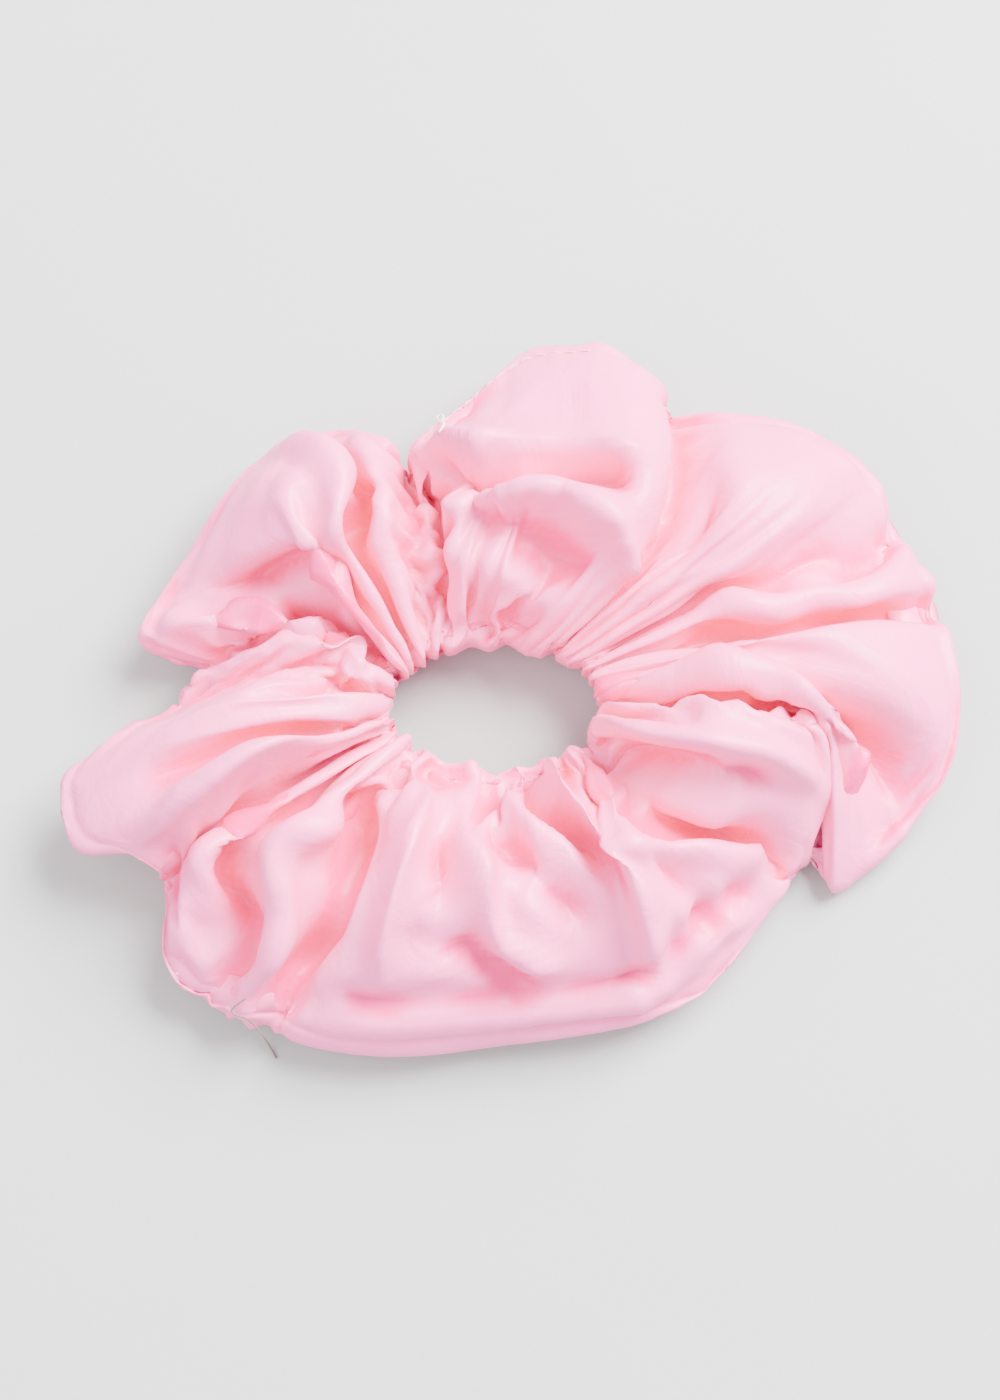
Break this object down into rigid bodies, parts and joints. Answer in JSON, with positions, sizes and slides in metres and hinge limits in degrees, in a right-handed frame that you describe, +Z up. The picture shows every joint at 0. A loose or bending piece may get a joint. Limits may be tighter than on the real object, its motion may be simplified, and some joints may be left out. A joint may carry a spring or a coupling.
{
  "type": "scrunchie",
  "caption": "Oversized hair scrunchie: a gathered satin tube sewn around a loop of flat elastic that stretches open.",
  "frame": {"origin": "centre of the oval opening, on the plane that the scrunchie lies on", "axes": "+X along the long side of the opening and of the whole, the way it is pulled open; +Z up, through the opening"},
  "size_m": [0.1704, 0.1371, 0.038],
  "materials": {
    "satin": "pale pink polyester satin with a soft sheen",
    "elastic": "white braided elastic",
    "pink_thread": "spun polyester sewing thread",
    "white_thread": "spun polyester sewing thread",
    "brown_thread": "spun polyester sewing thread"
  },
  "bodies": {
    "held_side": {"cover_left": "satin", "elastic_band": "elastic", "elastic_join_stitches": "white_thread", "long_seam_stitches_left": "pink_thread", "closing_topstitch": "pink_thread", "topstitch_thread_tail": "white_thread", "seam_thread_tail": "brown_thread"},
    "pulled_side": {"cover_right": "satin", "long_seam_stitches_right": "pink_thread"}
  },
  "joints": [
    {"name": "stretch_open", "type": "slide", "parent": "held_side", "child": "pulled_side", "axis": [1, 0, 0], "range_m": [0, 0.065], "stiffness_N_per_m": 90, "deforming": ["elastic_band"]}
  ]
}
